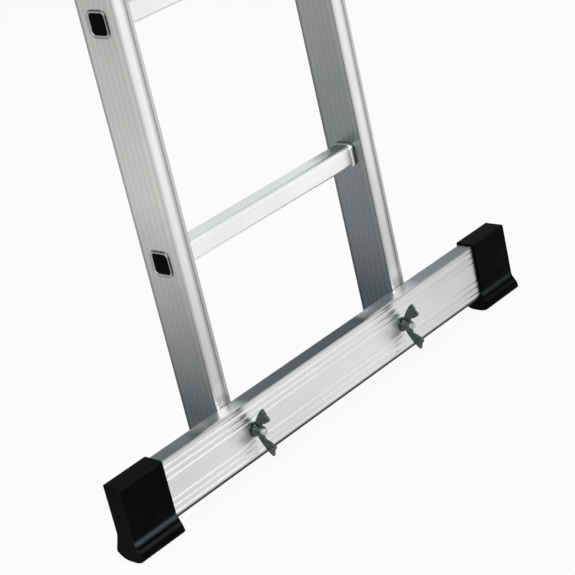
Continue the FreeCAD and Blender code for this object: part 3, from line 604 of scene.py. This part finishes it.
def ringSurface(rings, wrapped=False):
    # rings[i, j] is place j round ring i: neighbours make quads, round each ring and from ring to ring.
    # A wrapped surface joins its last ring to its first; any other is closed by a fan to the middle
    # of each end.
    rows, around = rings.shape[:2]
    index = np.arange(rows * around).reshape(rows, around)
    beside = np.roll(index, -1, axis=1)
    if wrapped:
        quads = np.stack([index, beside, np.roll(beside, -1, axis=0), np.roll(index, -1, axis=0)], -1)
        return rings.reshape(-1, 3), quads.reshape(-1, 4).tolist()
    quads = np.stack([index[:-1], beside[:-1], beside[1:], index[1:]], -1)
    first, last = rows * around, rows * around + 1
    vertices = np.vstack([rings.reshape(-1, 3), rings[0].mean(0), rings[-1].mean(0)])
    startFan = np.stack([beside[0], index[0], np.full(around, first)], -1)
    endFan = np.stack([index[-1], beside[-1], np.full(around, last)], -1)
    return vertices, quads.reshape(-1, 4).tolist() + startFan.tolist() + endFan.tolist()


def outwards(vertices, faces):
    # a closed surface holds a positive volume when its faces point outwards, so a negative one
    # is turned round
    corners = np.array([[*face, face[-1]][:4] for face in faces])
    a, b, c, d = (vertices[corners[:, k]] for k in range(4))
    volume = np.einsum("ij,ij->i", a, np.cross(b, c) + np.cross(c, d)).sum()
    return faces if volume > 0 else [face[::-1] for face in faces]


def makePiece(name, surfaces, slot, body, node, creaseAngle=40, finish=None):
    # several closed surfaces, worked out in millimetres, as one mesh that stands for a node;
    # a piece with no finish of its own takes its slot's
    allVertices, allFaces, count = [], [], 0
    for vertices, faces in surfaces:
        allVertices.append(vertices / 1000)
        allFaces += [[k + count for k in face] for face in outwards(vertices, faces)]
        count += len(vertices)
    piece = meshFrom(name, np.vstack(allVertices), allFaces, finish or finishes[slot], creaseAngle)
    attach(piece, body)
    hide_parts(node)


def carried(flat, places, axis):
    # each flat ring is put at its own place along an axis
    return np.insert(flat, axis, np.asarray(places, float)[:, None], axis=2)


def roundedRectangle(halfWide, halfHigh, corner, runSteps=6, turnSteps=8):
    # for each half width, half height and corner radius: four straight runs and four quarter circles
    sizes = (halfWide, halfHigh, corner)
    halfWide, halfHigh, corner = (np.atleast_1d(np.asarray(size, float))[:, None] for size in sizes)
    run = np.linspace(-1, 1, runSteps, endpoint=False)
    turn = np.linspace(0, np.pi / 2, turnSteps, endpoint=False)
    quarters = []
    for k in range(4):
        wide, high = (halfWide, halfHigh) if k % 2 == 0 else (halfHigh, halfWide)
        side = np.stack(np.broadcast_arrays(wide, (high - corner) * run), -1)
        bend = np.stack([wide - corner + corner * np.cos(turn), high - corner + corner * np.sin(turn)], -1)
        c, s = np.cos(k * np.pi / 2), np.sin(k * np.pi / 2)
        quarters.append(np.concatenate([side, bend], 1) @ np.array([[c, s], [-s, c]]))
    return np.concatenate(quarters, 1)


def roundedOutline(corners, radii, steps, most=0.48):
    # each corner is cut back along both its sides, by its radius but no more than a share of the shorter
    # side, and bridged by a quadratic curve that aims at the corner
    before, after = np.roll(corners, 1, axis=0) - corners, np.roll(corners, -1, axis=0) - corners
    backLong, onLong = np.linalg.norm(before, axis=1), np.linalg.norm(after, axis=1)
    cut = np.minimum(radii, most * np.minimum(backLong, onLong))[:, None]
    start = corners + before / backLong[:, None] * cut
    end = corners + after / onLong[:, None] * cut
    t = np.linspace(0, 1, steps)[None, :, None]
    curve = (1 - t) ** 2 * start[:, None] + 2 * t * (1 - t) * corners[:, None] + t**2 * end[:, None]
    return curve.reshape(-1, 2)


def smoothLoop(points, steps):
    # a closed cubic through the points, which leaves and reaches each point along its neighbours' chord
    before, after, beyond = (np.roll(points, k, axis=0)[:, None] for k in (1, -1, -2))
    here = points[:, None]
    t = np.linspace(0, 1, steps, endpoint=False)[None, :, None]
    bow = 2 * before - 5 * here + 4 * after - beyond
    turn = 3 * (here - after) + beyond - before
    return (here + 0.5 * t * (after - before + t * (bow + t * turn))).reshape(-1, 2)


def insetOutline(outline, distance):
    # each point moves inwards by a distance along the normal of its neighbours' chord
    chord = np.roll(outline, -1, axis=0) - np.roll(outline, 1, axis=0)
    normal = np.stack([chord[:, 1], -chord[:, 0]], -1) / (np.linalg.norm(chord, axis=1)[:, None] + 1e-9)
    following = np.roll(outline, -1, axis=0)
    area = np.sum(outline[:, 0] * following[:, 1] - following[:, 0] * outline[:, 1])
    return outline - np.sign(area) * distance * normal


def edgeRounding(radius, steps=5):
    # a quarter circle from a face to a side: how far in from the side, and how far back from the face
    turn = np.linspace(0, np.pi / 2, steps)
    return radius * (1 - np.sin(turn)), radius * (1 - np.cos(turn))


def prism(outline, start, end, rounding, axis):
    # an outline carried along an axis, drawn in along a quarter circle at each end
    inwards, along = edgeRounding(rounding)
    toEnd = np.sign(end - start)
    flat = np.array([insetOutline(outline, inset) for inset in (*inwards, *inwards[::-1])])
    return ringSurface(carried(flat, [*(start + toEnd * along), *(end - toEnd * along[::-1])], axis))


def turned(profile, centre, steps=48):
    # a closed profile of distance forwards and radius, turned round an axis along Y through the centre
    profile = np.array(profile, float)
    turn = np.linspace(0, 2 * np.pi, steps, endpoint=False)
    flat = profile[:, 1, None, None] * np.stack([np.cos(turn), np.sin(turn)], -1)
    return ringSurface(carried(flat, -profile[:, 0], 1) + centre, wrapped=True)


def inMillimetres(node):
    low, high = (np.array(v) * 1000 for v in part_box(node))
    return (low + high) / 2, low, high


sections = ("base", "fly")
rungNumbers = range(1, 9)
stileOuter = inMillimetres("base_stile_right")[2][0]

# ---- rungs: a square tube that flares out over each stile and is beaded inside it

rungLook = {
    "cornerLess": 7.5,  # corner radius of a ring is its half size less this
    "crease": 50,
    # distance beyond the stile's outer face, and half size:
    # bore, mouth, rolled lip, tube through the stile, bead, tube
    "end": [
        (-3.0, 12.0), (-1.2, 12.05), (0.2, 12.3), (1.0, 12.8), (1.4, 13.5), (1.5, 14.2), (1.4, 15.0),
        (1.05, 15.6), (0.6, 15.93), (0.2, 16.0), (0.03, 15.9), (0.02, 13.6), (-0.5, 13.5),
        (-23.9, 13.5), (-24.02, 15.1), (-24.3, 15.4), (-24.9, 15.5), (-26.0, 15.48), (-26.9, 15.2),
        (-27.6, 14.6), (-28.1, 13.95), (-28.7, 13.6), (-29.6, 13.5),
    ],
}


def rungSurface(middle, look):
    # rounded squares carried along X: out of the bore, over one lip, back along the tube,
    # over the other lip and into the bore again
    end = np.array(look["end"])
    places = np.concatenate([stileOuter + end[:, 0], -(stileOuter + end[::-1, 0])])
    half = np.concatenate([end[:, 1], end[::-1, 1]])
    flat = roundedRectangle(half, half, half - look["cornerLess"])
    return ringSurface(carried(flat, places, 0) + [0, middle[1], middle[2]], wrapped=True)


for section in sections:
    for k in rungNumbers:
        node = f"{section}_rung_{k}"
        tube = rungSurface(inMillimetres(node)[0], rungLook)
        makePiece(f"{node}_tube", [tube], "rung", section, node, rungLook["crease"])
print("rungs made")

# ---- plugs in the rungs' ends

plugLook = {
    "half": 11.9,
    "corner": 4.5,
    "depth": 8.0,
    # share of the depth, share of the half size: the barbed skirt that grips the bore
    "skirt": [
        (-1.0, 0.86), (-0.98, 0.94), (-0.86, 0.97), (-0.7, 0.94), (-0.56, 0.98), (-0.4, 0.94),
        (-0.08, 0.94), (0.0, 1.0),
    ],
    "dome": 0.7,
    "domeFrom": 0.08,  # share of a quarter turn where the dome's rings start, and where they stop
    "domeTo": 0.94,
    "domeRings": 8,
}


def plugSurface(side, middle, look):
    # rounded squares up the skirt, then a low dome: its height is a sine and its size a cosine of one angle
    skirt = np.array(look["skirt"])
    angle = np.linspace(look["domeFrom"], look["domeTo"], look["domeRings"]) * np.pi / 2
    places = side * np.concatenate([skirt[:, 0] * look["depth"], look["dome"] * np.sin(angle)])
    share = np.concatenate([skirt[:, 1], np.cos(angle)])
    flat = roundedRectangle(look["half"] * share, look["half"] * share, look["corner"] * share)
    return ringSurface(carried(flat, places, 0) + [side * stileOuter, middle[1], middle[2]])


for section in sections:
    middles = [inMillimetres(f"{section}_rung_{k}")[0] for k in rungNumbers]
    plugs = [plugSurface(side, middle, plugLook) for middle in middles for side in (-1, 1)]
    makePiece(f"{section}_end_plugs", plugs, "black_plastic", section, f"{section}_rung_plugs")
print("end plugs made")

# ---- rubber boots

bootLook = {
    # halves of the outline across the bar: distance from the middle, height, rounding of the corner
    "front": [
        (-14.05, 95.5, 2.2), (-14.05, 25.0, 5.0), (-15.6, 20.8, 2.5), (-17.6, 19.0, 0.8),
        (-17.9, 17.6, 0.6), (-20.2, 15.4, 0.9), (-22.0, 7.6, 0.9), (-18.6, 4.4, 3.0), (-13.0, 1.3, 3.0),
        (-6.5, 0.0, 3.0),
    ],
    "back": [
        (14.05, 95.5, 1.2), (14.05, 33.0, 1.6), (17.0, 24.0, 3.0), (21.8, 12.6, 2.0), (22.5, 9.0, 0.9),
        (20.0, 5.8, 2.0), (13.0, 1.4, 3.0), (6.5, 0.0, 3.0),
    ],
    "cornerSteps": 9,
    "round": 0.9,  # rounding of the closed end
    "roundSteps": 6,
    "rim": 0.8,  # rounding of the mouth
    "rimSteps": 4,
    "endRings": (0.25, 0.55, 0.8, 0.93),  # shares of the outline's size on the closed end
    "rings": 60,  # along the length
    "slip": 0.15,  # between the bar and the rubber
    "socketMouth": 0.05,  # how far in from the mouth the socket starts
    "socketEnd": 4.8,  # rubber left beyond the bar's end
    "treadPitch": 7.5,
    "treadDepth": 1.4,
    "treadTop": 6.0,  # height at which the tread's grooves have died away
    "treadPower": 8,  # how narrow a groove is
    "crease": 60,
}


def socketRing(outline, barHalf, barHeight):
    # every point of the outline moves straight towards the bar's middle, as far as the bar's own rectangle
    ray = outline - [0, barHeight]
    reach = np.min(barHalf / np.maximum(np.abs(ray), 1e-6), axis=1)
    return [0, barHeight] + ray * reach[:, None]


def bootSurface(side, closed, mouth, barMiddle, barHalf, look):
    # the outline carried along X: a closed end, a rounded edge, the length with grooves pressed up
    # into its sole, the rim, and a socket back to the bar's end. A groove's depth is a high power
    # of a cosine along the length.
    corners = np.concatenate([look["back"], look["front"][::-1]])
    outline = roundedOutline(corners[:, :2], corners[:, 2], look["cornerSteps"])
    length = abs(closed - mouth)
    inset, back = edgeRounding(look["round"], look["roundSteps"])
    rimInset, rimBack = edgeRounding(look["rim"], look["rimSteps"])
    middle = [0, outline[:, 1].mean()]
    flat = [middle + (insetOutline(outline, look["round"]) - middle) * share for share in look["endRings"]]
    flat += [insetOutline(outline, amount) for amount in inset]
    run = np.linspace(look["round"], length - look["rim"], look["rings"])[1:-1]
    flat += [outline] * len(run)
    flat += [insetOutline(outline, amount) for amount in rimInset[::-1]]
    socket = socketRing(outline, barHalf, barMiddle[2])
    flat = np.array(flat + [socket, socket])
    inside = [length - look["socketMouth"], look["socketEnd"]]
    places = np.concatenate([np.zeros(len(look["endRings"])), back, run, length - rimBack[::-1], inside])
    grooved = (places > look["round"]) * (places < length - look["rim"])
    groove = np.cos(np.pi * places / look["treadPitch"]) ** look["treadPower"] * grooved
    low = np.clip(1 - flat[:-2, :, 1] / look["treadTop"], 0, 1)
    flat[:-2, :, 1] += look["treadDepth"] * groove[:-2, None] * low
    return ringSurface(carried(flat, closed - side * places, 0) + [0, barMiddle[1], 0])


barMiddle, barLow, barHigh = inMillimetres("stabiliser_bar")
barHalf = (barHigh - barLow)[1:] / 2 + bootLook["slip"]
for name, side in leftRight.items():
    middle, low, high = inMillimetres(f"boot_{name}")
    closed, mouth = (low[0], high[0]) if side < 0 else (high[0], low[0])
    boot = bootSurface(side, closed, mouth, barMiddle, barHalf, bootLook)
    makePiece(f"boot_{name}_moulding", [boot], "boot_rubber", "base", f"boot_{name}", bootLook["crease"])
print("boots made")

# ---- clamp bolts: a threaded rod bent to hook into its stile

boltLook = {
    "radius": 4.0,
    "root": 3.4,
    "pitch": 1.25,
    "threaded": 16.5,
    "fade": 2.0,  # length over which the thread runs out
    "plain": 3.0,  # length beyond the thread with rings as close as the thread's
    "chamfer": 0.9,
    "bend": 5.2,
    "arm": 25.0,
    "endRound": 0.8,
    "roundSteps": 48,
    "pitchSteps": 8,
    "bendSteps": 12,
    "crease": 50,
}


def boltSurface(side, place, front, back, look):
    # radius along the threaded part is a triangle wave of distance less a turn's share of the pitch;
    # after it, plain circles follow a straight, a quarter circle and an arm along X
    turn = np.linspace(0, 2 * np.pi, look["roundSteps"], endpoint=False)
    along = np.arange(0, look["threaded"] + look["plain"], look["pitch"] / look["pitchSteps"])[:, None]
    phase = (along / look["pitch"] - turn / (2 * np.pi)) % 1
    fade = np.clip((look["threaded"] - along) / look["fade"], 0, 1)
    cut = (look["radius"] - look["root"]) * np.abs(2 * phase - 1) * fade
    tip = look["radius"] - np.clip(look["chamfer"] - along, 0, None)
    radius = np.minimum(look["radius"] - cut, tip)
    bend = np.linspace(0, np.pi / 2, look["bendSteps"])
    lean = np.concatenate([bend, [np.pi / 2, np.pi / 2]])
    axis = back - look["radius"]
    arm = [look["arm"] - look["endRound"], look["arm"]]
    pathX = side * np.concatenate([look["bend"] * (1 - np.cos(bend)), arm])
    pathY = np.concatenate([axis - look["bend"] * (1 - np.sin(bend)), [axis, axis]])
    plain = np.append(np.full(len(lean) - 1, look["radius"]), look["radius"] - look["endRound"])
    radius = np.concatenate([radius, np.broadcast_to(plain[:, None], (len(plain), len(turn)))])
    pathX = np.concatenate([np.zeros(len(along)), pathX])[:, None]
    pathY = np.concatenate([front + along[:, 0], pathY])[:, None]
    lean = np.concatenate([np.zeros(len(along)), lean])[:, None]
    across, up = radius * np.cos(turn), radius * np.sin(turn)
    rings = [place[0] + pathX + across * np.cos(lean), pathY - side * across * np.sin(lean), place[1] + up]
    return ringSurface(np.stack(rings, -1))


# ---- wing nuts and washers

nutLook = {
    # distance forwards, radius: round the foot, up the hub, over its top and back down the bore
    "hub": [
        (0.7, 4.08), (0.0, 4.9), (0.0, 7.6), (0.3, 7.95), (2.2, 8.0), (3.1, 7.7), (7.0, 6.7),
        (11.0, 6.1), (11.8, 5.8), (12.0, 5.3), (12.0, 4.8), (11.4, 4.08),
    ],
    # distance forwards, distance from the bolt's centre: round one wing
    "wing": [
        (1.4, 4.6), (2.4, 9.0), (5.0, 14.2), (11.0, 22.8), (16.6, 28.8), (20.4, 30.8), (22.8, 28.4),
        (24.4, 23.4), (27.8, 19.2), (27.6, 16.6), (20.6, 12.2), (14.0, 9.6), (11.4, 4.6),
    ],
    "wingSteps": 7,  # from one of a wing's points to the next
    "thick": 3.2,
    "round": 1.45,
    "crease": 50,
}


def nutSurfaces(place, foot, look):
    # the turned hub, and two wings whose outlines are smooth loops carried across their thickness
    centre = np.array([place[0], foot, place[1]])
    surfaces = [turned(look["hub"], centre)]
    half = look["thick"] / 2
    for up in (-1, 1):
        outline = smoothLoop(np.array(look["wing"]) * [-1, up], look["wingSteps"]) + centre[1:]
        surfaces.append(prism(outline, centre[0] - half, centre[0] + half, look["round"], 0))
    return surfaces


washerLook = {
    # distance forwards of the bar, radius: round a washer's section
    "section": [
        (0, 4.35), (0, 9.0), (1.3, 9.0), (1.52, 8.9), (1.6, 8.65), (1.6, 4.7), (1.52, 4.45),
        (1.3, 4.35),
    ],
    "crease": 50,
}

washers = []
for name, side in leftRight.items():
    middle, low, high = inMillimetres(f"wing_nut_{name}")
    place, foot = (middle[0], middle[2]), high[1]
    boltLow, boltHigh = inMillimetres(f"clamp_bolt_{name}")[1:]
    bolt, rod = f"clamp_bolt_{name}", boltSurface(side, place, boltLow[1], boltHigh[1], boltLook)
    makePiece(f"{bolt}_rod", [rod], "zinc", "base", bolt, boltLook["crease"], rodFinish)
    nut = f"wing_nut_{name}"
    makePiece(f"{nut}_casting", nutSurfaces(place, foot, nutLook), "zinc", nut, nut, nutLook["crease"])
    washers.append(turned(washerLook["section"], np.array([place[0], barLow[1], place[1]])))
makePiece("washers_turned", washers, "zinc", "base", "bar_washers", washerLook["crease"])
print("clamp bolts, washers and wing nuts made")

# ---- caps in the stiles' ends

capLook = {
    "flange": 5.0,
    "round": 1.8,
    "corner": 2.6,
    "wall": (1.9, 2.7),  # across and along the stile's section, to clear its walls
    "lead": (0.8, 2.0),  # how much smaller the plug's inner end is, and over what length
    "dish": (4.0, 0.6),  # how far in from the edge the shallow dish starts, and its depth
    "dishSlope": 0.8,
    "cornerShare": 0.4,  # how much less a corner's radius is for each mm that a ring is drawn in
    "cornerMost": 2.0,  # and the most that it loses
}


def capSurface(node, up, look):
    # rounded rectangles: up the plug, out under the flange, round its edge, and across a shallow dish
    middle, low, high = inMillimetres(node)
    inner, tip = (low[2], high[2]) if up > 0 else (high[2], low[2])
    seat = tip - up * look["flange"]
    inset, back = edgeRounding(look["round"])
    wall, (leadIn, leadLong), (dishIn, dishDeep) = np.array(look["wall"]), look["lead"], look["dish"]
    draws = [wall + leadIn, wall, wall, [0, 0]] + [[amount, amount] for amount in inset[::-1]]
    draws = np.array(draws + [[dishIn] * 2, [dishIn + look["dishSlope"]] * 2])
    places = [inner, inner + up * leadLong, seat, seat, *(tip - up * back[::-1]), tip, tip - up * dishDeep]
    half = (high - low)[:2] / 2 - draws
    corner = look["corner"] - np.minimum(draws[:, 0] * look["cornerShare"], look["cornerMost"])
    flat = roundedRectangle(half[:, 0], half[:, 1], corner)
    return ringSurface(carried(flat, places, 2) + [middle[0], middle[1], 0])


for section in sections:
    for name in leftRight:
        for end, up in (("top_cap", 1), ("foot_plug", -1)):
            node = f"{section}_{end}_{name}"
            cap = capSurface(node, up, capLook)
            makePiece(f"{node}_moulding", [cap], "black_plastic", section, node)
print("caps made")
